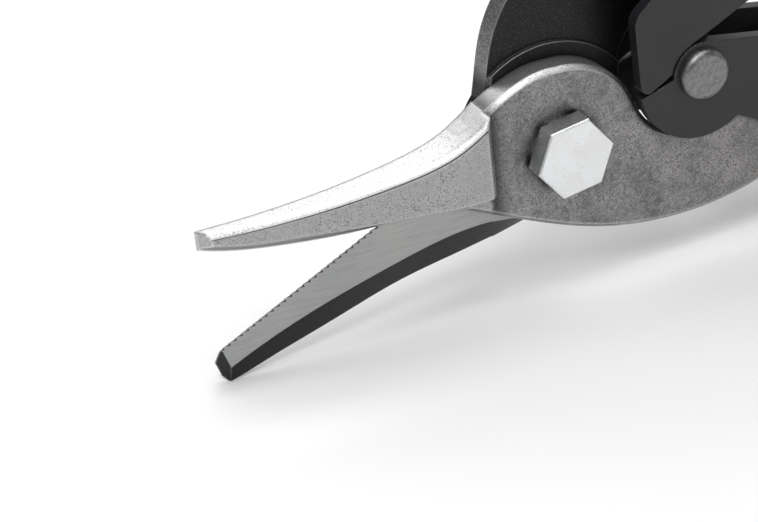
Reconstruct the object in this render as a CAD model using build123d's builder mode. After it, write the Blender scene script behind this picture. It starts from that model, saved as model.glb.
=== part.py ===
"""Compound-action aviation snips standing on edge, fully open.

Millimetres, +Z up. The blade plane is vertical (XZ), the jaws point to -X, the bolt
head faces -Y. The sub-parts are drawn in a tool plane: its origin is the blade pivot
and its x axis runs from the blade pivot to the pivot that joins the handles.
"""
from build123d import *
import os
from math import asin, atan2, cos, degrees, hypot, radians, sin, tan

os.makedirs("parts", exist_ok=True)

# ---------------------------------------------------------------- driving dimensions
# linkage, in the tool plane with the handles fully open
handle_pivot_x = 27.1      # blade pivot to handle pivot
tang_pivot_x = 56.0        # blade pivot to the tang pivots, along the tool axis
tang_pivot_z = 17.5        # tang pivots, either side of the tool axis

# blades
plate_t = 5.0              # thickness of each blade at the hub
mating_gap = 0.05          # each blade stays this far from the shearing plane
hub_r = 15.0
ground_r = 17.5            # ground bearing face on the rear blade
relief_depth = 0.8         # tangs are relieved this much behind the bearing face
front_jaw_length = 65.2
front_jaw_angle = 163.8    # direction of the front jaw tip from the blade pivot
rear_jaw_length = 68.2
rear_jaw_angle = 181.1
jaw_tip_t = 2.6            # jaw thickness at the tip
jaw_root_t = 8.2           # jaw thickness at the shoulder beside the hub
shoulder_u = 14.0          # blade pivot to the shoulder
rear_edge_rise = 8.1       # height of the straight cutting edge over the pivot
tip_slant = 34.0           # the two tips are ground off together at this angle
edge_land = 0.9            # width of the bevel that backs each cutting edge
ridge_break = 0.9          # broken corner along the back of each jaw
groove_tip = 0.16          # trimming groove under the ridge of the front jaw
groove_root = 0.36
edge_break = 0.8           # broken outer edges of the plates
notch_r = 12.0             # hollow in the front blade that clears the handle pivot
rear_notch_r = 12.0        # the same in the rear blade
belly_z = 28.0             # deepest point of the tang from the tool axis
tang_plate_r = 8.4         # round end of the tang
tang_boss_r = 7.3          # full-width boss round the tang pivot
rear_belly_z = 31.5        # the rear tang bulges further than the front one
serration_pitch = 1.3
serration_depth = 0.35
serration_reach = 1.8

# pivot bolt stack
shank_r = 4.76
bolt_af = 12.7             # 1/2 in across flats
bolt_head_h = 3.9
head_break = 0.3           # broken edge round the face of the head
bolt_corner_angle = 51.0   # turn of the hexagons in the tool plane
washer_t = 0.8
washer_r = 6.3
nut_af = 14.3              # 9/16 in across flats
nut_h = 4.6
nut_collar_h = 1.0
bolt_tail = 1.6            # thread end past the nut
thread_break = 0.7         # lead-in on the end of the thread
nut_break = 0.5            # broken corners of the nut
nut_collar_share = 0.42    # radius of the nut's locking collar, of its width
rear_washer_lip = 1.0      # the rear washer is this much wider
fit = 0.05                 # radial running clearance
loose_fit = 0.3            # radial clearance of the rear tang pivot

# handles: folded sheet channels
sheet_t = 2.4
channel_inner = 5.3        # half the inside width of the channel
channel_r = 11.0           # half-height of the channel beside the tang pivot
channel_inner_reach = 8.0  # reach of the channel past the tang pivot, to the axis
channel_end_r = 7.0
channel_length = 106.0
handle_open_angle = 23.3   # handle centre line to tool axis, fully open
web_start = 12.0           # start of the web behind the tang pivot
nose_r = 12.0
pivot_boss_r = 5.6
seam_z = 1.9               # the noses of the two handles meet on this line
seam_gap = 0.15
nose_back = 1.4            # corner radius of the upper nose
close_swing = 34.6         # relative turn of the handles, open to closed
joggle_gap = 0.2
lap_t = 2.6                # stepped lap of the upper handle, inside the front wall
lap_run = 3.0              # the laps run on this far past the swing of the nose
upper_front = (-5.7, 14.0) # front corner of the upper nose, from the handle pivot
upper_front_r = 3.0
slot_clear = 0.4

# rivets
tang_rivet_r = 3.5
handle_rivet_r = 3.0
rivet_head_r = 5.6
handle_head_r = 4.6
rivet_head_h = 1.8
spacer_r = 5.0
catch_r = 4.6              # head that keeps the latch on the rear tang rivet

# grips
grip_start = 24.0
grip_length = 97.0
grip_half_w = 12.0
grip_front_r = 11.6
grip_front_shift = 2.2     # the inner side is thin at the front, so the closed grips clear
grip_mid_r = 13.6
grip_end_r = 12.0
grip_bow = 3.0
grip_edge = 4.5
collar_len = 5.0
collar_lip = 0.9           # the collars pass each other when the grips close
grip_groove_pitch = 7.0
grip_groove_count = 8
grip_groove_w = 1.6
grip_groove_depth = 0.6

# return spring between the handles
spring_at = 20.0           # from the tang pivots along the handle centre lines
spring_r = 3.9
spring_wire_r = 0.75
spring_turns = 10
spring_half = 31.0         # half the length of the spring, fully open
seat_flange_r = 4.7
seat_flange_t = 1.2
seat_stub_r = 2.8
seat_stub_h = 4.0
shim_t = 0.2
shim_r = 6.4

# latch on the lower handle; its hook takes the end of the rear tang rivet when closed
latch_t = 2.0
latch_gap = 0.3
latch_off_angle = 25.0     # direction of the arm in the tool plane when it is off
latch_eye_r = 6.6
latch_end_r = 6.6
latch_hook = 16.25         # distance between the tang pivots, fully closed
hook_clear = 0.35
hook_relief = 1.5
tab_angle = 150.0          # from the arm to the thumb tab
tab_reach = 13.0
tab_end_r = 4.2
tab_rise = 4.0

# ---------------------------------------------------------------- derived positions
wall_face = channel_inner + sheet_t
rear_jaw_lip = 7.2         # outer corner of the rear jaw at its tip


def along(angle, distance, start=(0.0, 0.0)):
    """Point at a distance and direction in the tool plane."""
    a = radians(angle)
    return (start[0] + distance * cos(a), start[1] + distance * sin(a))


def handle_point(side, distance, outward=0.0):
    """Point on a handle centre line; side is +1 for the upper handle, -1 for the lower."""
    base = (tang_pivot_x, side * tang_pivot_z)
    on_line = along(side * handle_open_angle, distance, base)
    return along(side * (handle_open_angle + 90.0), outward, on_line)


def grip_circles(side):
    mid = grip_start + 0.55 * grip_length
    end = grip_start + grip_length
    return [
        (handle_point(side, grip_start, grip_front_shift), grip_front_r),
        (handle_point(side, mid, grip_bow), grip_mid_r),
        (handle_point(side, end, 0.5 * grip_bow), grip_end_r),
    ]


def jaw_point(angle, u, v, side):
    """Point u along a jaw and v across it; side is +1 when v rises, -1 when it falls."""
    return along(angle - side * 90.0, v, along(angle, u))


# the snips rest on the lower jaw tip and on the lower grip
tip_corner = jaw_point(rear_jaw_angle, rear_jaw_length, rear_jaw_lip, -1)


def rest_angle(circle):
    (cx, cz), r = circle
    dx = cx - tip_corner[0]
    dz = cz - tip_corner[1]
    return degrees(atan2(dz, dx) - asin(r / hypot(dx, dz)))


lean = -min(rest_angle(c) for c in grip_circles(-1))
c_lean = cos(radians(lean))
s_lean = sin(radians(lean))
front_tip = jaw_point(front_jaw_angle, front_jaw_length, 0.0, 1)
rear_tip = along(rear_jaw_angle, rear_jaw_length)
left_x = min(c_lean * p[0] - s_lean * p[1] for p in (front_tip, rear_tip, tip_corner))
right_x = max(
    c_lean * p[0] - s_lean * p[1] + r
    for side in (1, -1)
    for p, r in grip_circles(side)
)
floor_z = s_lean * tip_corner[0] + c_lean * tip_corner[1]
tool_origin = Vector(-(left_x + right_x) / 2, 0.0, -floor_z)
tool_x = Vector(c_lean, 0.0, s_lean)
tool_z = Vector(-s_lean, 0.0, c_lean)
tool_plane = Plane(origin=tool_origin, x_dir=tool_x, z_dir=(0, -1, 0))


def layer(back_y):
    """Sketch plane at a depth; extruding by +t fills from back_y to back_y - t."""
    return tool_plane.offset(-back_y)


def world(point, y=0.0):
    return tool_origin + tool_x * point[0] + tool_z * point[1] + Vector(0, y, 0)


handle_pivot = (handle_pivot_x, 0.0)

# ---------------------------------------------------------------- shared shapes
# jaw stations: share of the length from the pivot, cutting edge and outer edge across
# the jaw, and how far up its side the waist lies
front_stations = [
    (1.000, -0.2, 3.3, 0.45),
    (0.900, -2.4, 3.1, 0.44),
    (0.776, -4.1, 3.1, 0.42),
    (0.621, -5.6, 3.6, 0.38),
    (0.481, -6.3, 4.6, 0.32),
    (0.373, -6.4, 5.9, 0.25),
    (0.295, -6.1, 7.8, 0.18),
    (0.245, -5.6, 9.8, 0.14),
]
shoulder_break = 1.3       # broken edge where the thick jaw steps down to the plate
front_root = (-5.2, 11.2, 0.12)
# rear stations: distance, lower edge of the ground face, outer edge
rear_stations = [
    (1.000, 4.3, rear_jaw_lip),
    (0.910, 3.7, 7.9),
    (0.791, 3.4, 8.5),
    (0.672, 3.6, 9.2),
    (0.493, 4.5, 10.3),
    (0.388, 5.3, 11.6),
    (0.275, 6.9, 13.2),
]
rear_root = (8.6, 14.2)
# the bevel below the hub: distance from the pivot, ground face edge, outer edge
hub_bevel = [(shoulder_u + 1.0, 8.3, 14.1), (9.0, 11.2, 14.7), (4.0, 13.6, 15.2)]


def jaw_thickness(u, length):
    share = (length - u) / (length - shoulder_u)
    return jaw_tip_t + share * (jaw_root_t - jaw_tip_t)


def jaw_axis(angle):
    return tool_x * cos(radians(angle)) + tool_z * sin(radians(angle))


def jaw_side(angle):
    """Direction across a jaw, chosen so that depth is the other axis of a sketch."""
    return jaw_axis(angle).cross(Vector(0, 1, 0))


def jaw_section_plane(angle, u, side):
    """Plane across a jaw: local x runs away from the shearing plane, local y outward."""
    return Plane(
        origin=world(along(angle, u), -side * mating_gap),
        x_dir=(0, -side, 0),
        z_dir=jaw_axis(angle),
    )


def front_section(u, edge_v, back_v, waist_share):
    """Section of the front jaw, with the trimming groove under its ridge."""
    along_jaw = (u - shoulder_u) / (front_jaw_length - shoulder_u)
    t = jaw_thickness(u, front_jaw_length)
    groove = groove_root + along_jaw * (groove_tip - groove_root)
    waist = edge_v + waist_share * (back_v - edge_v)
    land = min(edge_land, 0.8 * (waist - edge_v))
    ridge = back_v - ridge_break
    with BuildSketch(jaw_section_plane(front_jaw_angle, u, 1)) as section:
        Polygon(
            [
                (0, edge_v),
                (land, edge_v + land),
                (t, waist),
                (t, ridge - 1.6 * groove),
                (t - groove, ridge - 0.8 * groove),
                (t, ridge),
                (t - ridge_break, back_v),
                (0, back_v),
            ],
            align=None,
        )
    return section.sketch


def cut_across(angle, corners):
    """Cut a jaw with a prism; the corners are distance along the jaw and depth."""
    across = Plane(origin=world((0, 0)), x_dir=jaw_axis(angle), z_dir=jaw_side(angle))
    with BuildSketch(across) as wedge:
        with BuildLine() as border:
            Polyline(corners, close=True)
        make_face(border.line.edges())
    extrude(wedge.sketch, amount=hub_r + ground_r, both=True, mode=Mode.SUBTRACT)


def slant_tip(angle, length, side):
    """Grind a jaw tip off at a slant; the jaw keeps its length at its rear face."""
    back = -mating_gap if side > 0 else mating_gap + jaw_tip_t
    reach = 4 * jaw_tip_t
    lean_in = reach * tan(radians(tip_slant))
    corners = [
        (length - lean_in, back - reach),
        (length + lean_in, back + reach),
        (length + 2 * reach, back + reach),
        (length + 2 * reach, back - reach),
    ]
    cut_across(angle, corners)


def slope_shoulder():
    """Break the front edge of the shoulder of the front jaw."""
    front = -mating_gap - jaw_root_t
    past = 0.3 * (jaw_root_t - plate_t)
    corners = [
        (shoulder_u - past, front + shoulder_break + past),
        (shoulder_u + shoulder_break + past, front - past),
        (shoulder_u - past, front - past),
    ]
    cut_across(front_jaw_angle, corners)


def bolt_hole(radius, back_y, depth):
    with BuildSketch(layer(back_y)) as disc:
        Circle(radius)
    extrude(disc.sketch, amount=depth, mode=Mode.SUBTRACT)


def round_bar(centre, radius, y_front, y_back, mode=Mode.ADD):
    """Cylinder across the tool between two depths."""
    with BuildSketch(layer(y_back)) as disc:
        with Locations(centre):
            Circle(radius)
    extrude(disc.sketch, amount=y_back - y_front, mode=mode)


def trim_jaw(plane):
    """Face a jaw flat on its shearing side, for one plate thickness past the plane."""
    with BuildSketch(plane) as face:
        with Locations((-front_jaw_length, 0)):
            Rectangle(2 * front_jaw_length + hub_r, 2 * front_jaw_length)
    extrude(face.sketch, amount=plate_t, mode=Mode.SUBTRACT)


def tang_outline(side, belly, hub_points):
    """Closed face: outer edge of one blade from its jaw, round to the tang pivot."""
    pivot = (tang_pivot_x, side * tang_pivot_z)
    edge = hub_points + [
        (0.5 * tang_pivot_x, side * belly),
        (0.82 * tang_pivot_x, side * (belly - 0.8)),
        (tang_pivot_x, side * (tang_pivot_z + tang_plate_r)),
    ]
    with BuildLine() as border:
        Spline(edge)
        Polyline(
            edge[-1],
            (tang_pivot_x, side * (tang_pivot_z - tang_plate_r)),
            (handle_pivot_x + 0.6 * notch_r, side * 0.8 * notch_r),
            (handle_pivot_x, side * 0.5 * notch_r),
            (hub_r, 0.0),
            (0.0, 0.0),
            edge[0],
        )
    make_face(border.line.edges())
    with Locations(pivot):
        Circle(tang_plate_r)


# ---------------------------------------------------------------- front blade
with BuildPart() as front_blade:
    front_face = -mating_gap - plate_t
    with BuildSketch(layer(-mating_gap)):
        Circle(hub_r)
        with Locations((-0.85 * hub_r, -hub_r)):
            Rectangle(2.3 * hub_r, 2 * hub_r, mode=Mode.SUBTRACT)
        tang_outline(
            -1,
            belly_z,
            [
                jaw_point(front_jaw_angle, 0.29 * front_jaw_length, -5.9, 1),
                (-0.60 * hub_r, -0.69 * hub_r),
                (0.10 * hub_r, -1.24 * hub_r),
                (0.92 * hub_r, -1.65 * hub_r),
            ],
        )
        with BuildLine():
            ridge = [
                jaw_point(front_jaw_angle, 0.29 * front_jaw_length, 8.0, 1),
                jaw_point(front_jaw_angle, 0.185 * front_jaw_length, 12.0, 1),
                jaw_point(front_jaw_angle, 0.105 * front_jaw_length, 14.3, 1),
                jaw_point(front_jaw_angle, 0.0, hub_r, 1),
            ]
            Spline(ridge)
            Polyline(
                ridge[-1],
                (0.0, 0.0),
                jaw_point(front_jaw_angle, 0.29 * front_jaw_length, -5.9, 1),
                ridge[0],
            )
        make_face()
        with Locations(handle_pivot):
            Circle(notch_r, mode=Mode.SUBTRACT)
    extrude(amount=plate_t)
    front_edges = front_blade.edges().filter_by_position(
        Axis.Y, front_face - 0.01, front_face + 0.01
    )
    chamfer(front_edges, edge_break)

    # relieved mating side of the tang, full-width boss round the tang pivot
    with BuildSketch(layer(-mating_gap)):
        Rectangle(4 * tang_pivot_x, 4 * tang_pivot_x)
        Circle(ground_r, mode=Mode.SUBTRACT)
        with Locations((-2 * tang_pivot_x + 0.3 * hub_r, 0)):
            Rectangle(4 * tang_pivot_x, 4 * tang_pivot_x, mode=Mode.SUBTRACT)
    extrude(amount=relief_depth, mode=Mode.SUBTRACT)
    round_bar((tang_pivot_x, -tang_pivot_z), tang_boss_r, front_face, plate_t)

    # the forged jaw and the broken edge of its shoulder
    front_sections = [
        front_section(share * front_jaw_length, edge_v, back_v, waist_share)
        for share, edge_v, back_v, waist_share in front_stations
    ]
    front_sections.append(front_section(shoulder_u, *front_root))
    loft(front_sections)
    slope_shoulder()
    trim_jaw(layer(-mating_gap + plate_t))
    slant_tip(front_jaw_angle, front_jaw_length, 1)
    bolt_hole(shank_r, 2 * plate_t, 4 * plate_t)
    round_bar(
        (tang_pivot_x, -tang_pivot_z),
        tang_rivet_r + fit,
        -2 * plate_t,
        2 * plate_t,
        mode=Mode.SUBTRACT,
    )

front_blade.part.label = "front_blade"
export_step(front_blade.part, "parts/front_blade.step")

# ---------------------------------------------------------------- rear blade
with BuildPart() as rear_blade:
    rear_face = mating_gap + plate_t
    with BuildSketch(layer(rear_face)):
        Circle(hub_r)
        tang_outline(
            1,
            rear_belly_z,
            [
                (-0.94 * hub_r, 0.34 * hub_r),
                (-0.47 * hub_r, 0.99 * hub_r),
                (-0.20 * hub_r, 1.47 * hub_r),
                (0.20 * hub_r, 1.86 * hub_r),
            ],
        )
        with BuildLine():
            Polyline(
                (-0.94 * hub_r, 0.34 * hub_r),
                jaw_point(rear_jaw_angle, 0.27 * rear_jaw_length, -5.8, -1),
                jaw_point(rear_jaw_angle, 0.27 * rear_jaw_length, 6.6, -1),
                jaw_point(rear_jaw_angle, shoulder_u, rear_root[0], -1),
                (0.0, 0.0),
                close=True,
            )
        make_face()
        with Locations(handle_pivot):
            Circle(rear_notch_r, mode=Mode.SUBTRACT)
    extrude(amount=plate_t)
    outer_edge = rear_blade.edges().filter_by_position(
        Axis.Y, mating_gap - 0.01, mating_gap + 0.01
    )
    outer_edge = outer_edge.filter_by(GeomType.BSPLINE)
    chamfer(outer_edge, edge_break)

    # relieved mating side of the tang, full-width boss round the tang pivot
    with BuildSketch(layer(mating_gap + relief_depth)):
        Rectangle(4 * tang_pivot_x, 4 * tang_pivot_x)
        Circle(ground_r, mode=Mode.SUBTRACT)
        with Locations((0, -2 * tang_pivot_x + 0.36 * hub_r)):
            Rectangle(4 * tang_pivot_x, 4 * tang_pivot_x, mode=Mode.SUBTRACT)
    extrude(amount=relief_depth, mode=Mode.SUBTRACT)
    round_bar((tang_pivot_x, tang_pivot_z), tang_boss_r, -plate_t, rear_face)

    # the forged jaw with its straight cutting edge
    for share, ground_v, back_v in rear_stations + [
        (shoulder_u / rear_jaw_length, rear_root[0], rear_root[1])
    ]:
        u = share * rear_jaw_length
        t = jaw_thickness(u, rear_jaw_length)
        edge_v = -rear_edge_rise * (1 - share)
        waist = edge_v + 0.45 * (back_v - edge_v)
        with BuildSketch(jaw_section_plane(rear_jaw_angle, u, -1)):
            Polygon(
                [
                    (0, edge_v),
                    (edge_land, edge_v + edge_land),
                    (t, waist),
                    (t, back_v - ridge_break),
                    (t - ridge_break, back_v),
                    (0.55 * t, back_v),
                    (0, ground_v),
                ],
                align=None,
            )
    loft()
    # the same bevel runs on below the hub
    for u, ground_v, back_v in hub_bevel:
        with BuildSketch(jaw_section_plane(rear_jaw_angle, u, -1)):
            Polygon(
                [
                    (0, 0),
                    (plate_t, 0),
                    (plate_t, back_v),
                    (0.55 * jaw_root_t, back_v),
                    (0, ground_v),
                ],
                align=None,
            )
    loft(ruled=True)
    trim_jaw(layer(mating_gap))
    slant_tip(rear_jaw_angle, rear_jaw_length, -1)

    # fine serrations across the cutting edge
    edge_slope = degrees(atan2(rear_edge_rise, rear_jaw_length))
    serration_count = int(0.58 * rear_jaw_length / serration_pitch)
    for k in range(serration_count):
        u = rear_jaw_length - (k + 1.0) * serration_pitch
        v = -rear_edge_rise * (1 - u / rear_jaw_length)
        with BuildSketch(layer(mating_gap + edge_land)):
            with Locations(jaw_point(rear_jaw_angle, u, v, -1)):
                Rectangle(
                    serration_depth,
                    serration_reach,
                    rotation=rear_jaw_angle + edge_slope + 60.0,
                )
        extrude(amount=edge_land + mating_gap, mode=Mode.SUBTRACT)
    bolt_hole(shank_r + fit, 2 * plate_t, 4 * plate_t)
    round_bar(
        (tang_pivot_x, tang_pivot_z),
        tang_rivet_r + loose_fit,
        -2 * plate_t,
        2 * plate_t,
        mode=Mode.SUBTRACT,
    )

rear_blade.part.label = "rear_blade"
export_step(rear_blade.part, "parts/rear_blade.step")

# ---------------------------------------------------------------- pivot bolt stack
nut_front = mating_gap + plate_t + washer_t
nut_back = nut_front + nut_h
bolt_end = nut_back + bolt_tail
head_base = -mating_gap - plate_t - washer_t

with BuildPart() as pivot_bolt:
    with BuildSketch(layer(head_base)):
        RegularPolygon(
            bolt_af / 2, 6, major_radius=False, rotation=bolt_corner_angle
        )
    extrude(amount=bolt_head_h)
    head_front = pivot_bolt.faces().sort_by(Axis.Y)[0]
    chamfer(head_front.edges(), head_break)
    round_bar((0, 0), shank_r, head_base, bolt_end)
    thread_end = pivot_bolt.faces().sort_by(Axis.Y)[-1]
    chamfer(thread_end.edges(), thread_break)

pivot_bolt.part.label = "pivot_bolt"
export_step(pivot_bolt.part, "parts/pivot_bolt.step")

with BuildPart() as front_washer:
    with BuildSketch(layer(head_base + washer_t)):
        Circle(washer_r)
        Circle(shank_r, mode=Mode.SUBTRACT)
    extrude(amount=washer_t)

front_washer.part.label = "front_washer"
export_step(front_washer.part, "parts/front_washer.step")

with BuildPart() as rear_washer:
    with BuildSketch(layer(nut_front)):
        Circle(washer_r + rear_washer_lip)
        Circle(shank_r, mode=Mode.SUBTRACT)
    extrude(amount=washer_t - fit)

rear_washer.part.label = "rear_washer"
export_step(rear_washer.part, "parts/rear_washer.step")

with BuildPart() as lock_nut:
    with BuildSketch(layer(nut_back - nut_collar_h)):
        RegularPolygon(nut_af / 2, 6, major_radius=False)
    extrude(amount=nut_h - nut_collar_h)
    nut_rear = lock_nut.faces().sort_by(Axis.Y)[-1]
    chamfer(nut_rear.edges(), nut_break)
    round_bar((0, 0), nut_collar_share * nut_af, nut_back - nut_collar_h, nut_back)
    bolt_hole(shank_r, nut_back, nut_h)

lock_nut.part.label = "lock_nut"
export_step(lock_nut.part, "parts/lock_nut.step")

# ---------------------------------------------------------------- handles


def handle_wall_circles(side):
    return [
        (handle_point(side, 0.0, channel_r - channel_inner_reach), channel_r),
        (handle_point(side, 0.5 * channel_length, 2.0), 0.5 * (channel_r + channel_end_r)),
        (handle_point(side, channel_length), channel_end_r),
    ]


def hull_of(circles):
    for centre, radius in circles:
        with Locations(centre):
            Circle(radius)
    make_hull()


def channel_body(side):
    """Solid bar in the outline of the folded channel, full width."""
    with BuildSketch(layer(wall_face)) as outline:
        hull_of(handle_wall_circles(side))
    extrude(outline.sketch, amount=2 * wall_face)


def hollow_outline(side):
    """Everything on the inner side of the web, between the walls."""
    circles = []
    for centre, radius in handle_wall_circles(side):
        shift = along(side * (handle_open_angle + 90.0), -sheet_t, centre)
        circles.append((shift, radius))
        circles.append((along(side * (handle_open_angle - 90.0), 3 * radius, shift), radius))
    with BuildSketch(layer(channel_inner)) as mouth:
        hull_of(circles)
    return mouth.sketch


def channel_hollow(side):
    """Open the channel on its inner side and ahead of the web."""
    extrude(hollow_outline(side), amount=2 * channel_inner, mode=Mode.SUBTRACT)
    with BuildSketch(layer(channel_inner)) as front:
        with Locations(handle_point(side, web_start - 3 * channel_r)):
            Rectangle(6 * channel_r, 8 * channel_r, rotation=side * handle_open_angle)
    extrude(front.sketch, amount=2 * channel_inner, mode=Mode.SUBTRACT)


tang_pivot_low = (tang_pivot_x, -tang_pivot_z)
tang_pivot_high = (tang_pivot_x, tang_pivot_z)
far = 3 * nose_r

with BuildPart() as lower_handle:
    channel_body(-1)
    for back_y in (-channel_inner, wall_face):
        # round nose under the seam
        with BuildSketch(layer(back_y)):
            with Locations(handle_pivot):
                Circle(nose_r)
            with BuildLine():
                Polyline(
                    (handle_pivot_x - far, seam_z - seam_gap),
                    (handle_pivot_x, seam_z - seam_gap),
                    (tang_pivot_x, -tang_pivot_z),
                    (tang_pivot_x, -far),
                    (handle_pivot_x - far, -far),
                    close=True,
                )
            make_face(mode=Mode.INTERSECT)
        extrude(amount=sheet_t)
        # wall between the two pivots
        with BuildSketch(layer(back_y)):
            hull_of(
                [
                    (handle_pivot, pivot_boss_r),
                    (tang_pivot_low, channel_inner_reach),
                    handle_wall_circles(-1)[0],
                ]
            )
        extrude(amount=sheet_t)
    channel_hollow(-1)
    round_bar(handle_pivot, handle_rivet_r, -far, far, mode=Mode.SUBTRACT)
    round_bar(tang_pivot_low, tang_rivet_r, -far, far, mode=Mode.SUBTRACT)

lower_handle.part.label = "lower_handle"
export_step(lower_handle.part, "parts/lower_handle.step")

with BuildPart() as upper_handle:
    channel_body(1)
    for back_y in (-channel_inner, wall_face):
        # wall from the nose to the tang pivot, cut back where the lower handle swings
        with BuildSketch(layer(back_y)):
            hull_of(
                [
                    (
                        (
                            handle_pivot_x - nose_r + 0.6 + nose_back,
                            seam_z + seam_gap + nose_back,
                        ),
                        nose_back,
                    ),
                    (
                        (handle_pivot_x + upper_front[0], upper_front[1]),
                        upper_front_r,
                    ),
                    handle_wall_circles(1)[0],
                ]
            )
            with Locations(handle_pivot):
                Circle(pivot_boss_r + slot_clear, mode=Mode.SUBTRACT)
        extrude(amount=sheet_t)
    channel_hollow(1)
    # lap that reaches the handle pivot, inside the front wall
    lap_z = pivot_boss_r + slot_clear + 0.2
    with BuildSketch(layer(-channel_inner + lap_t)):
        with Locations(handle_pivot):
            Circle(pivot_boss_r - 0.8)
        with Locations((handle_pivot_x, 0.5 * lap_z + lap_run)):
            Rectangle(1.5 * pivot_boss_r, lap_z + 2 * lap_run)
    extrude(amount=lap_t - joggle_gap)
    with BuildSketch(layer(-channel_inner + 0.5)):
        with Locations((handle_pivot_x, lap_z + lap_run)):
            Rectangle(1.5 * pivot_boss_r, 2 * lap_run)
    extrude(amount=0.8)
    # lap that reaches the handle pivot, outside the rear wall
    with BuildSketch(layer(wall_face + joggle_gap + sheet_t)):
        with Locations(handle_pivot):
            Circle(pivot_boss_r)
        with Locations((handle_pivot_x, 0.5 * lap_z + lap_run)):
            Rectangle(1.5 * pivot_boss_r, lap_z + 2 * lap_run)
    extrude(amount=sheet_t)
    with BuildSketch(layer(wall_face + 0.5)):
        with Locations((handle_pivot_x, lap_z + lap_run)):
            Rectangle(1.5 * pivot_boss_r, 2 * lap_run)
    extrude(amount=0.8)
    # room for the wall of the lower handle when the handles close
    sweep_to = along(
        close_swing + degrees(atan2(-tang_pivot_z, tang_pivot_x - handle_pivot_x)),
        hypot(tang_pivot_x - handle_pivot_x, tang_pivot_z),
        handle_pivot,
    )
    for back_y in (-channel_inner, wall_face):
        with BuildSketch(layer(back_y)):
            hull_of(
                [
                    (handle_pivot, pivot_boss_r + slot_clear),
                    (sweep_to, channel_inner_reach + slot_clear),
                ]
            )
        extrude(amount=sheet_t, mode=Mode.SUBTRACT)
    round_bar(handle_pivot, handle_rivet_r + fit, -far, far, mode=Mode.SUBTRACT)
    round_bar(tang_pivot_high, tang_rivet_r, -far, far, mode=Mode.SUBTRACT)

upper_handle.part.label = "upper_handle"
export_step(upper_handle.part, "parts/upper_handle.step")

# ---------------------------------------------------------------- rivets and spacer


def headed_rivet(centre, radius, head_radius, front_y, back_y, back_head):
    round_bar(centre, radius, front_y, back_y)
    round_bar(centre, head_radius, front_y - rivet_head_h, front_y)
    round_bar(centre, back_head, back_y, back_y + rivet_head_h)


latch_front = wall_face + latch_gap
latch_back = latch_front + latch_t
lap_back = wall_face + joggle_gap + sheet_t

with BuildPart() as front_tang_rivet:
    headed_rivet(
        tang_pivot_low,
        tang_rivet_r,
        rivet_head_r,
        -wall_face,
        latch_back + fit,
        rivet_head_r,
    )
    ends = front_tang_rivet.faces().filter_by(Plane.XZ).sort_by(Axis.Y)
    fillet(ends[0].edges() + ends[-1].edges(), 0.75 * rivet_head_h)

front_tang_rivet.part.label = "front_tang_rivet"
export_step(front_tang_rivet.part, "parts/front_tang_rivet.step")

with BuildPart() as rear_tang_rivet:
    headed_rivet(
        tang_pivot_high,
        tang_rivet_r,
        rivet_head_r,
        -wall_face,
        latch_back + latch_gap,
        catch_r,
    )
    ends = rear_tang_rivet.faces().filter_by(Plane.XZ).sort_by(Axis.Y)
    fillet(ends[0].edges() + ends[-1].edges(), 0.75 * rivet_head_h)

rear_tang_rivet.part.label = "rear_tang_rivet"
export_step(rear_tang_rivet.part, "parts/rear_tang_rivet.step")

with BuildPart() as handle_rivet:
    headed_rivet(
        handle_pivot,
        handle_rivet_r,
        handle_head_r,
        -wall_face,
        lap_back,
        handle_head_r,
    )
    ends = handle_rivet.faces().filter_by(Plane.XZ).sort_by(Axis.Y)
    fillet(ends[0].edges() + ends[-1].edges(), 0.75 * rivet_head_h)

handle_rivet.part.label = "handle_rivet"
export_step(handle_rivet.part, "parts/handle_rivet.step")

with BuildPart() as handle_spacer:
    spacer_back = channel_inner - 0.1
    spacer_front = -channel_inner + lap_t + 0.5 * joggle_gap
    with BuildSketch(layer(spacer_back)):
        with Locations(handle_pivot):
            Circle(spacer_r)
            Circle(handle_rivet_r, mode=Mode.SUBTRACT)
    extrude(amount=spacer_back - spacer_front)

handle_spacer.part.label = "handle_spacer"
export_step(handle_spacer.part, "parts/handle_spacer.step")

# ---------------------------------------------------------------- grips


def grip_shape(side):
    with BuildSketch(layer(grip_half_w)) as outline:
        hull_of(grip_circles(side))
    extrude(outline.sketch, amount=2 * grip_half_w)


def grip_cut(side):
    """Room for the channel, and the open mouth of the sleeve."""
    with BuildSketch(layer(wall_face)) as outline:
        hull_of(handle_wall_circles(side))
    extrude(outline.sketch, amount=2 * wall_face, mode=Mode.SUBTRACT)


def grip_grooves(side):
    """Shallow cross grooves in both faces of the sleeve."""
    for k in range(grip_groove_count):
        at = grip_start + 0.32 * grip_length + k * grip_groove_pitch
        for back_y in (-grip_half_w + grip_groove_depth, grip_half_w):
            with BuildSketch(layer(back_y)) as groove:
                with Locations(handle_point(side, at, grip_bow - 0.5)):
                    Rectangle(
                        grip_groove_w,
                        1.1 * grip_front_r,
                        rotation=side * (handle_open_angle + 14.0),
                    )
            extrude(groove.sketch, amount=grip_groove_depth, mode=Mode.SUBTRACT)


def grip_collar(side):
    """Raised thumb stop at the mouth of the sleeve."""
    base = grip_circles(side)[0]
    with BuildSketch(layer(grip_half_w + 1.0)) as ring:
        with Locations(base[0]):
            Circle(base[1] + collar_lip)
        with Locations(handle_point(side, grip_start + 0.5 * collar_len, 1.0)):
            Rectangle(
                collar_len,
                4 * grip_front_r,
                rotation=side * handle_open_angle,
                mode=Mode.INTERSECT,
            )
    extrude(ring.sketch, amount=2 * grip_half_w + 2.0)


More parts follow.
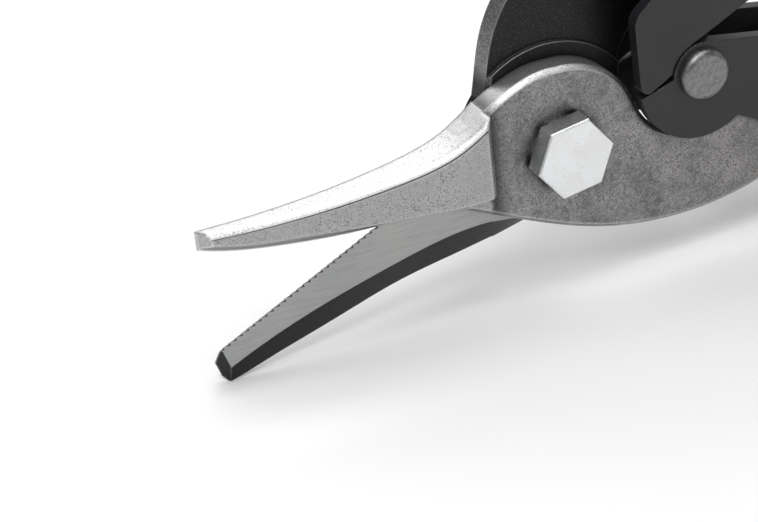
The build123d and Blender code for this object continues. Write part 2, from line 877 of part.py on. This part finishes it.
def build_grip(builder, side):
    grip_shape(side)
    for face_y in (-grip_half_w, grip_half_w):
        rim = builder.edges().filter_by_position(Axis.Y, face_y - 0.01, face_y + 0.01)
        fillet(rim, grip_edge)
    grip_grooves(side)
    with BuildSketch(layer(grip_half_w + 2.0)) as front:
        with Locations(handle_point(side, grip_start - 2 * grip_front_r)):
            Rectangle(
                4 * grip_front_r, 8 * grip_front_r, rotation=side * handle_open_angle
            )
    extrude(front.sketch, amount=2 * grip_half_w + 4.0, mode=Mode.SUBTRACT)
    grip_collar(side)
    grip_cut(side)


with BuildPart() as lower_grip:
    build_grip(lower_grip, -1)

lower_grip.part.label = "lower_grip"
export_step(lower_grip.part, "parts/lower_grip.step")

with BuildPart() as upper_grip:
    build_grip(upper_grip, 1)

upper_grip.part.label = "upper_grip"
export_step(upper_grip.part, "parts/upper_grip.step")


# ---------------------------------------------------------------- tang shims


def shim_pair(centre):
    """Thin washers between a tang and the two walls of its handle."""
    for back_y in (-channel_inner + shim_t, channel_inner):
        with BuildSketch(layer(back_y)) as ring:
            with Locations(centre):
                Circle(shim_r)
                Circle(tang_rivet_r, mode=Mode.SUBTRACT)
        extrude(ring.sketch, amount=shim_t)


with BuildPart() as front_tang_shims:
    shim_pair(tang_pivot_low)

front_tang_shims.part.label = "front_tang_shims"
export_step(front_tang_shims.part, "parts/front_tang_shims.step")

with BuildPart() as rear_tang_shims:
    shim_pair(tang_pivot_high)

rear_tang_shims.part.label = "rear_tang_shims"
export_step(rear_tang_shims.part, "parts/rear_tang_shims.step")

# ---------------------------------------------------------------- return spring
spring_x = handle_point(1, spring_at, 0.8 * channel_r)[0]


def seat_plane(height):
    """Plane across the spring axis at a height in the tool plane, facing up the axis."""
    return Plane(origin=world((spring_x, height)), x_dir=tool_x, z_dir=tool_z)


with BuildPart() as return_spring:
    with BuildLine() as coil:
        Helix(
            pitch=2 * (spring_half - spring_wire_r) / spring_turns,
            height=2 * (spring_half - spring_wire_r),
            radius=spring_r,
            center=world((spring_x, -spring_half + spring_wire_r)),
            direction=tool_z,
        )
    with BuildSketch(Plane(origin=coil.line @ 0, z_dir=coil.line % 0)):
        Circle(spring_wire_r)
    sweep(path=coil.line, is_frenet=True)

return_spring.part.label = "return_spring"
export_step(return_spring.part, "parts/return_spring.step")


def spring_seat(side):
    """Flanged stub that locates one end of the spring on the web of a handle."""
    with BuildSketch(seat_plane(side * spring_half)) as flange:
        Circle(seat_flange_r)
    extrude(flange.sketch, amount=side * seat_flange_t)
    with BuildSketch(seat_plane(side * (spring_half - seat_stub_h))) as stub:
        Circle(seat_stub_r)
    extrude(stub.sketch, amount=side * (seat_stub_h + channel_r))
    extrude(hollow_outline(side), amount=2 * channel_inner, mode=Mode.INTERSECT)


with BuildPart() as lower_spring_seat:
    spring_seat(-1)

with BuildPart() as upper_spring_seat:
    spring_seat(1)

lower_spring_seat.part.label = "lower_spring_seat"
export_step(lower_spring_seat.part, "parts/lower_spring_seat.step")
upper_spring_seat.part.label = "upper_spring_seat"
export_step(upper_spring_seat.part, "parts/upper_spring_seat.step")

# ---------------------------------------------------------------- latch
with BuildPart() as latch:
    arm_end = along(latch_off_angle, latch_hook + 1.0, tang_pivot_low)
    tab_end = along(latch_off_angle + tab_angle, tab_reach, tang_pivot_low)
    hook_seat = along(latch_off_angle, latch_hook, tang_pivot_low)
    mouth_mid = along(
        latch_off_angle + 90.0,
        latch_end_r,
        along(latch_off_angle, latch_hook - 0.5 * hook_relief, tang_pivot_low),
    )
    with BuildSketch(layer(latch_back)) as arm:
        hull_of([(tang_pivot_low, latch_eye_r), (arm_end, latch_end_r)])
        with Locations(hook_seat):
            Circle(tang_rivet_r + hook_clear, mode=Mode.SUBTRACT)
        with Locations(mouth_mid):
            Rectangle(
                2 * (tang_rivet_r + hook_clear) + hook_relief,
                2 * latch_end_r,
                rotation=latch_off_angle,
                mode=Mode.SUBTRACT,
            )
    extrude(amount=latch_t)
    with BuildSketch(layer(latch_back)) as tab:
        hull_of([(tang_pivot_low, 0.7 * latch_eye_r), (tab_end, tab_end_r)])
    extrude(amount=latch_t)
    # the thumb tab is folded outwards
    with BuildSketch(layer(latch_back + tab_rise)) as fold:
        with Locations(tab_end):
            Rectangle(latch_t, 2 * tab_end_r, rotation=latch_off_angle + tab_angle)
    extrude(amount=tab_rise)
    round_bar(tang_pivot_low, tang_rivet_r + fit, -far, far, mode=Mode.SUBTRACT)

latch.part.label = "latch"
export_step(latch.part, "parts/latch.step")

with BuildPart() as latch_washer:
    with BuildSketch(layer(latch_front - fit)):
        with Locations(tang_pivot_low):
            Circle(latch_eye_r - 0.6)
            Circle(tang_rivet_r, mode=Mode.SUBTRACT)
    extrude(amount=latch_gap - fit)

latch_washer.part.label = "latch_washer"
export_step(latch_washer.part, "parts/latch_washer.step")
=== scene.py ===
"""Looks of the aviation snips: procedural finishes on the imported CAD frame, a pale
floor, soft studio light and the close view of the head from the front left."""
from math import cos, radians, sin

import bpy
from mathutils import Matrix, Vector


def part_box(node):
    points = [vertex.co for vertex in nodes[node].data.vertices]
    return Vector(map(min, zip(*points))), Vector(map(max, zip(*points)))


MM = 0.001
COLOR_A, COLOR_B, COLOR_OUT = 6, 7, 2      # colour sockets of the Mix node
FACES = (0, -1, 0)                         # the side the bolt head is on

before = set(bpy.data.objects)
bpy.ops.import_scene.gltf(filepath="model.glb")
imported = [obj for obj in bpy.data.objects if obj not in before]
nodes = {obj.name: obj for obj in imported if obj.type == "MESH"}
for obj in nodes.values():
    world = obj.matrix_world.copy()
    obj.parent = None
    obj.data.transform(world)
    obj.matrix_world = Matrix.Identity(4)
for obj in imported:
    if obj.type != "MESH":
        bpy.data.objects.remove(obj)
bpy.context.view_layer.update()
bolt_low, bolt_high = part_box("pivot_bolt")
bolt_middle = (bolt_low + bolt_high) / 2
PIVOT = Vector((bolt_middle.x, 0.0, bolt_middle.z))
LOWER_JAW = (-0.951, 0.0, -0.309)          # direction from the pivot to the lower jaw tip
UPPER_JAW = (-1.0, 0.0, -0.01)             # the same for the upper jaw
# distances from the pivot along a jaw, in millimetres, over which a finish or a painted
# shadow sets in
SHOULDER = (13.6, 14.6)
SHOULDER_FOOT_SHADOW = (10.0, 13.8)
GROUND_JAW = (5.0, 7.0)


# ------------------------------------------------------------------ node helpers
class Graph:
    """A short way to write one material's nodes."""

    def __init__(self, name):
        self.material = bpy.data.materials.new(name)
        self.material.use_nodes = True
        self.tree = self.material.node_tree
        self.shader = self.tree.nodes["Principled BSDF"]
        self.coords = self.tree.nodes.new("ShaderNodeTexCoord").outputs

    def link(self, value, socket):
        """Links an output, or sets a plain value, on an input socket."""
        if isinstance(value, bpy.types.NodeSocket):
            self.tree.links.new(value, socket)
        elif value is not None:
            socket.default_value = value

    def node(self, kind, inputs=(), **settings):
        made = self.tree.nodes.new("ShaderNode" + kind)
        for name, value in settings.items():
            setattr(made, name, value)
        for key, value in dict(inputs).items():
            self.link(value, made.inputs[key])
        return made

    def place(self, scale=(1, 1, 1), turn=(0, 0, 0)):
        """Position on the piece, in metres, turned and then stretched."""
        return self.node("Mapping", {"Vector": self.coords["Object"], "Rotation": turn,
                                     "Scale": scale}).outputs[0]

    def along(self, direction):
        """Distance from the pivot in a direction, in millimetres, on the piece at rest."""
        away = self.vector("SUBTRACT", self.coords["Object"], tuple(PIVOT))
        return self.math("DIVIDE", self.vector("DOT_PRODUCT", away, direction), MM)

    def noise(self, size, detail=2.0, rough=0.5, at=None, distort=0.0):
        """Noise whose features are about `size` millimetres."""
        made = self.node("TexNoise", {"Vector": at or self.coords["Object"],
                                      "Scale": 1 / (size * MM), "Detail": detail,
                                      "Roughness": rough, "Distortion": distort})
        return made.outputs["Fac"]

    def span(self, value, low, high, start=0.0, end=1.0):
        """Smooth step from start to end while value goes from low to high."""
        made = self.node("MapRange", {"Value": value, "From Min": low, "From Max": high,
                                      "To Min": start, "To Max": end},
                         interpolation_type="SMOOTHSTEP")
        return made.outputs[0]

    def math(self, operation, a, b):
        made = self.node("Math", operation=operation)
        for value, socket in zip((a, b), made.inputs):
            self.link(value, socket)
        return made.outputs[0]

    def vector(self, operation, a, b):
        made = self.node("VectorMath", operation=operation)
        self.link(a, made.inputs[0])
        self.link(b, made.inputs[1])
        return made.outputs["Value" if operation == "DOT_PRODUCT" else "Vector"]

    def mix(self, amount, a, b):
        """Mix of two colours."""
        made = self.node("Mix", data_type="RGBA")
        self.link(amount, made.inputs["Factor"])
        self.link(rgb(a), made.inputs[COLOR_A])
        self.link(rgb(b), made.inputs[COLOR_B])
        return made.outputs[COLOR_OUT]

    def bump(self, height, distance, strength=1.0, normal=None):
        """Bump of `distance` millimetres for a height from 0 to 1."""
        return self.node("Bump", {"Height": height, "Distance": distance * MM,
                                  "Strength": strength, "Normal": normal}).outputs[0]

    def rounded(self, radius):
        """Normal of the surface as if its edges were rounded to `radius` mm."""
        return self.node("Bevel", {"Radius": radius * MM}, samples=6).outputs[0]

    def edges(self, radius, low=0.03, high=0.3):
        """1 on the outer edges of the piece, 0 on its open faces and in its corners."""
        turned = self.vector("DOT_PRODUCT", self.rounded(radius),
                             self.node("NewGeometry").outputs["Normal"])
        worn = self.span(self.math("SUBTRACT", 1.0, turned), low, high)
        return self.math("MULTIPLY", worn, self.open_air(radius * 2, 0.62, 0.9))

    def open_air(self, reach, low=0.3, high=0.9, own=True):
        """0 deep in corners, 1 in the open; own=False also sees the other pieces."""
        seen = self.node("AmbientOcclusion", {"Distance": reach * MM}, samples=6,
                         only_local=own).outputs["AO"]
        return self.span(seen, low, high)

    def facing(self, direction, low, high):
        """1 where the surface faces a direction, on the piece at rest."""
        return self.span(self.vector("DOT_PRODUCT", self.coords["Normal"], direction),
                         low, high)

    def finish(self, color, roughness, metallic=1.0, normal=None, **sockets):
        self.link(rgb(color), self.shader.inputs["Base Color"])
        self.link(roughness, self.shader.inputs["Roughness"])
        self.link(metallic, self.shader.inputs["Metallic"])
        self.link(normal, self.shader.inputs["Normal"])
        for name, value in sockets.items():
            self.shader.inputs[name.replace("_", " ")].default_value = value
        return self.material


def rgb(color):
    """A grey number or an RGB tuple as RGBA; an output is passed on."""
    if isinstance(color, (int, float)):
        return (color, color, color, 1.0)
    if isinstance(color, tuple) and len(color) == 3:
        return (*color, 1.0)
    return color


# ------------------------------------------------------------------ materials
def forged_steel():
    """Tumbled forging: peppered grey skin, bright edges that are partly wear and partly
    painted highlight, painted highlight on faces turned up, painted shade in recesses, near
    other pieces, under the jaw and at the foot of the shoulder.
    """
    g = Graph("forged_skin")
    pepper = g.noise(0.26, detail=3, rough=0.75)
    patches = g.noise(7.0, detail=3, rough=0.6, distort=0.4)
    blotch = g.noise(1.3, detail=4, rough=0.65)
    # bright edges, partly wear and partly painted highlight
    edge = g.edges(1.2, 0.02, 0.16)
    # painted shade in the piece's own corners and recesses
    crease_shade = g.open_air(5.0, 0.45, 0.95)
    # painted shade where other pieces come close, as round the bolt head
    near_parts_shade = g.open_air(4.5, 0.35, 0.85, own=False)
    reach = g.along(UPPER_JAW)
    jaw = g.span(reach, *SHOULDER)
    # painted shade on surfaces facing down
    underside_shade = g.facing((0.0, -0.35, -0.94), 0.25, 0.75)
    # painted highlight on surfaces facing up and to the front
    top_highlight = g.facing((0.0, -0.5, 0.87), 0.55, 0.9)
    plate = g.math("SUBTRACT", 1.0, jaw)
    # painted shadow on the plate at the foot of the jaw shoulder
    shoulder_foot_shadow = g.math("MULTIPLY", g.span(reach, *SHOULDER_FOOT_SHADOW), plate)
    skin = g.mix(g.span(blotch, 0.3, 0.72), 0.15, 0.27)
    skin = g.mix(g.span(patches, 0.35, 0.7), skin, (0.33, 0.325, 0.32))
    skin = g.mix(g.math("MULTIPLY", jaw, 0.6), skin, 0.56)
    # painted highlight on the faces turned up
    skin = g.mix(g.math("MULTIPLY", top_highlight, 0.7), skin, 0.85)
    pit_level = g.span(patches, 0.3, 0.7, 0.38, 0.44)
    pits = g.math("GREATER_THAN", g.math("SUBTRACT", pit_level, pepper), 0.0)
    skin = g.mix(g.math("MULTIPLY", pits, 0.75), skin, 0.03)
    glints = g.span(pepper, 0.57, 0.66)
    skin = g.mix(g.math("MULTIPLY", glints, 0.4), skin, 0.75)
    # painted shade: recesses, nearby pieces, the shoulder foot and the jaw underside are
    # darkened
    skin = g.mix(g.span(crease_shade, 0.0, 1.0, 0.85, 0.0), skin, 0.035)
    skin = g.mix(g.span(near_parts_shade, 0.0, 1.0, 0.9, 0.0), skin, 0.025)
    skin = g.mix(g.math("MULTIPLY", shoulder_foot_shadow, 0.8), skin, 0.03)
    skin = g.mix(g.math("MULTIPLY", g.math("MULTIPLY", underside_shade, jaw), 0.7), skin, 0.08)
    # edges lightened: partly wear, partly painted highlight
    skin = g.mix(g.math("MULTIPLY", edge, 0.9), skin, (0.86, 0.85, 0.84))
    rough = g.span(edge, 0.0, 1.0, 0.44, 0.27)
    height = g.math("ADD", g.math("MULTIPLY", pepper, 0.8),
                    g.math("MULTIPLY", blotch, 1.6))
    relief = g.bump(height, 0.05, 0.5, g.rounded(1.0))
    return g.finish(skin, rough, 1.0, relief)


def rear_steel():
    """Rear blade: ground jaw with fine grinding lines, dark oxidised sides and bevel, a
    bearing face made dark away from the jaw, edges partly worn and partly painted highlight,
    painted shade near other pieces.
    """
    g = Graph("ground_and_oxide")
    front = g.facing(FACES, 0.985, 0.995)
    jaw = g.span(g.along(LOWER_JAW), *GROUND_JAW)
    ground = g.math("MULTIPLY", front, jaw)
    lines = g.noise(0.16, detail=2, at=g.place((0.03, 1, 1), (0, radians(-20), 0)))
    cloud = g.noise(14.0, detail=2)
    tint = g.mix(g.span(cloud, 0.35, 0.65), (0.37, 0.365, 0.36), (0.33, 0.335, 0.34))
    bright = g.mix(g.span(lines, 0.3, 0.7, 0.0, 0.4), tint, 0.5)
    speck = g.noise(0.3, detail=3, rough=0.7)
    # the bearing face away from the jaw is simply made dark
    flat = g.mix(g.span(speck, 0.5, 0.7, 0.0, 0.4), 0.03, 0.12)
    strip = g.mix(g.span(speck, 0.42, 0.62), 0.12, 0.3)
    bevel = g.mix(g.span(speck, 0.5, 0.7, 0.0, 0.4), 0.018, 0.08)
    side = g.mix(jaw, strip, bevel)
    unground = g.mix(front, side, flat)
    # edges lightened: partly wear, partly painted highlight
    edge = g.edges(0.6)
    unground = g.mix(g.math("MULTIPLY", edge, 0.8), unground, 0.5)
    color = g.mix(ground, unground, bright)
    # painted shade where other pieces come close
    near_parts_shade = g.open_air(4.0, 0.3, 0.85, own=False)
    color = g.mix(g.span(near_parts_shade, 0.0, 1.0, 0.7, 0.0), color, 0.02)
    rough = g.math("ADD", g.span(ground, 0.0, 1.0, 0.42, 0.30),
                   g.span(lines, 0.2, 0.8, -0.03, 0.06))
    relief = g.bump(lines, 0.01, 0.3, g.rounded(0.25))
    return g.finish(color, rough, 1.0, relief)


def zinc():
    """Bright zinc plate with faint clouds and fine scratches."""
    g = Graph("zinc_plate")
    cloud = g.noise(3.5, detail=3)
    scratch = g.noise(0.12, detail=1, at=g.place((0.06, 1, 1), (0, radians(35), 0)))
    tint = g.mix(g.span(cloud, 0.3, 0.7), (0.83, 0.85, 0.87), (0.80, 0.815, 0.80))
    tint = g.mix(g.span(scratch, 0.62, 0.75, 0.0, 0.3), tint, 0.6)
    rough = g.math("ADD", g.span(cloud, 0.3, 0.7, 0.2, 0.3),
                   g.span(scratch, 0.5, 0.8, 0.0, 0.08))
    relief = g.bump(cloud, 0.02, 0.25, g.rounded(0.18))
    return g.finish(tint, rough, 1.0, relief)


def black_paint():
    """Satin black paint over sheet steel, with a light orange peel and worn edges."""
    g = Graph("black_paint")
    peel = g.noise(0.9, detail=2)
    scuff = g.noise(0.35, detail=4, rough=0.7)
    cloud = g.noise(16.0, detail=3)
    edge = g.edges(0.35, 0.1, 0.5)
    chips = g.math("MULTIPLY", edge, g.span(scuff, 0.52, 0.6))
    color = g.mix(g.span(cloud, 0.3, 0.7), (0.008, 0.008, 0.01), (0.015, 0.015, 0.018))
    color = g.mix(chips, color, 0.42)
    rough = g.math("ADD", g.span(cloud, 0.3, 0.7, 0.33, 0.42),
                   g.span(scuff, 0.55, 0.75, 0.0, 0.12))
    relief = g.bump(peel, 0.015, 0.35, g.rounded(0.3))
    return g.finish(color, rough, chips, relief)


def plain_steel(name, dark, light, rough):
    """Plain steel of small parts, lightly mottled."""
    g = Graph(name)
    mottle = g.noise(0.8, detail=4, rough=0.65)
    fine = g.noise(0.2, detail=2)
    color = g.mix(g.span(mottle, 0.3, 0.7), dark, light)
    edge = g.edges(0.3)
    # edges lightened: partly wear, partly painted highlight
    color = g.mix(g.math("MULTIPLY", edge, 0.6), color, 0.6)
    rough_out = g.span(mottle, 0.3, 0.7, rough, rough + 0.14)
    relief = g.bump(fine, 0.01, 0.3, g.rounded(0.2))
    return g.finish(color, rough_out, 1.0, relief)


def vinyl():
    """Dipped vinyl grip: soft semi-matt skin, darker in its grooves."""
    g = Graph("grip_vinyl")
    skin = g.noise(0.5, detail=3)
    cloud = g.noise(11.0, detail=3)
    groove_dark = g.open_air(3.0, 0.4, 0.9)
    color = g.mix(g.span(cloud, 0.3, 0.7), (0.42, 0.018, 0.014), (0.52, 0.03, 0.02))
    # the grooves are made darker
    color = g.mix(g.span(groove_dark, 0.0, 1.0, 0.5, 0.0), color, (0.22, 0.012, 0.01))
    rough = g.math("ADD", g.span(cloud, 0.3, 0.7, 0.42, 0.52),
                   g.span(skin, 0.3, 0.7, -0.03, 0.05))
    relief = g.bump(skin, 0.03, 0.4, g.rounded(0.5))
    return g.finish(color, rough, 0.0, relief)


forged = forged_steel()
rear = rear_steel()
bright_zinc = zinc()
paint = black_paint()
rivets = plain_steel("rivet_steel", 0.16, 0.3, 0.34)
wire = plain_steel("spring_wire", 0.32, 0.46, 0.26)
brass = plain_steel("shim_brass", (0.5, 0.36, 0.14), (0.62, 0.47, 0.22), 0.32)
grips = vinyl()

FINISH = {
    "front_blade": forged,
    "rear_blade": rear,
    "pivot_bolt": bright_zinc, "lock_nut": bright_zinc,
    "front_washer": bright_zinc, "rear_washer": bright_zinc,
    "lower_handle": paint, "upper_handle": paint,
    "front_tang_rivet": rivets, "rear_tang_rivet": rivets, "handle_rivet": rivets,
    "handle_spacer": rivets, "lower_spring_seat": rivets, "upper_spring_seat": rivets,
    "return_spring": wire,
    "front_tang_shims": brass, "rear_tang_shims": brass,
    "latch": bright_zinc, "latch_washer": bright_zinc,
    "lower_grip": grips, "upper_grip": grips,
}
for node_name, piece in nodes.items():
    piece.data.materials.clear()
    piece.data.materials.append(FINISH[node_name])


# ------------------------------------------------------------------ floor
def pale_floor():
    g = Graph("pale_floor")
    tone = g.noise(400.0, detail=1)
    color = g.mix(tone, 0.9, 0.915)
    return g.finish(color, 0.7, 0.0, Specular_IOR_Level=0.2)


FLOOR_HALF = 3.0                           # half the side of the floor, in metres


def add_floor():
    half = FLOOR_HALF
    mesh = bpy.data.meshes.new("floor")
    corners = [(-half, -half, 0.0), (half, -half, 0.0), (half, half, 0.0), (-half, half, 0.0)]
    mesh.from_pydata(corners, [], [(0, 1, 2, 3)])
    mesh.materials.append(pale_floor())
    floor = bpy.data.objects.new("floor", mesh)
    bpy.context.scene.collection.objects.link(floor)


add_floor()


# ------------------------------------------------------------------ light
def aim(position, target, roll=0.0):
    """Matrix of an object at `position` whose -Z looks at `target`."""
    back = (Vector(position) - Vector(target)).normalized()
    right = Vector((0, 0, 1)).cross(back).normalized()
    up = back.cross(right)
    c, s = cos(roll), sin(roll)
    side = right * c + up * s
    top = up * c - right * s
    matrix = Matrix((side, top, back)).transposed().to_4x4()
    matrix.translation = Vector(position)
    return matrix


def softbox(name, position, size, power):
    """Rectangular white light of a size in metres, aimed at the head of the tool."""
    light = bpy.data.lights.new(name, "AREA")
    light.shape = "RECTANGLE"
    light.size, light.size_y = size
    light.energy = power
    lamp = bpy.data.objects.new(name, light)
    bpy.context.scene.collection.objects.link(lamp)
    lamp.matrix_world = aim(position, HEAD)


HEAD = (-0.07, 0.0, 0.03)
FILL = 0.38                                # brightness of the white surroundings
softbox("key", (-0.35, -0.45, 0.9), (0.5, 0.5), 4.5)
softbox("top", (0.18, 0.02, 0.9), (0.9, 0.45), 3.2)
softbox("back", (0.05, 0.75, 0.6), (1.2, 0.4), 3.2)

world = bpy.data.worlds.new("studio")
world.use_nodes = True
surround = world.node_tree.nodes["Background"].inputs
surround["Color"].default_value = (1, 1, 1, 1)
surround["Strength"].default_value = FILL
bpy.context.scene.world = world
bpy.context.scene.view_settings.view_transform = "Standard"

# ------------------------------------------------------------------ camera
VIEW_TARGET = PIVOT + Vector((-0.03353, 0.0, -0.01312))
VIEW_DISTANCE = 0.4605
VIEW_AZIMUTH = radians(-22.72)
VIEW_ELEVATION = radians(29.15)
VIEW_ROLL = radians(-5.98)

out = Vector((sin(VIEW_AZIMUTH) * cos(VIEW_ELEVATION),
              -cos(VIEW_AZIMUTH) * cos(VIEW_ELEVATION), sin(VIEW_ELEVATION)))
lens = bpy.data.cameras.new("view")
lens.lens = 130.2
lens.sensor_width = 36.0
lens.clip_start = 0.01
camera = bpy.data.objects.new("view", lens)
bpy.context.scene.collection.objects.link(camera)
camera.matrix_world = aim(VIEW_TARGET + out * VIEW_DISTANCE, VIEW_TARGET, VIEW_ROLL)
bpy.context.scene.camera = camera
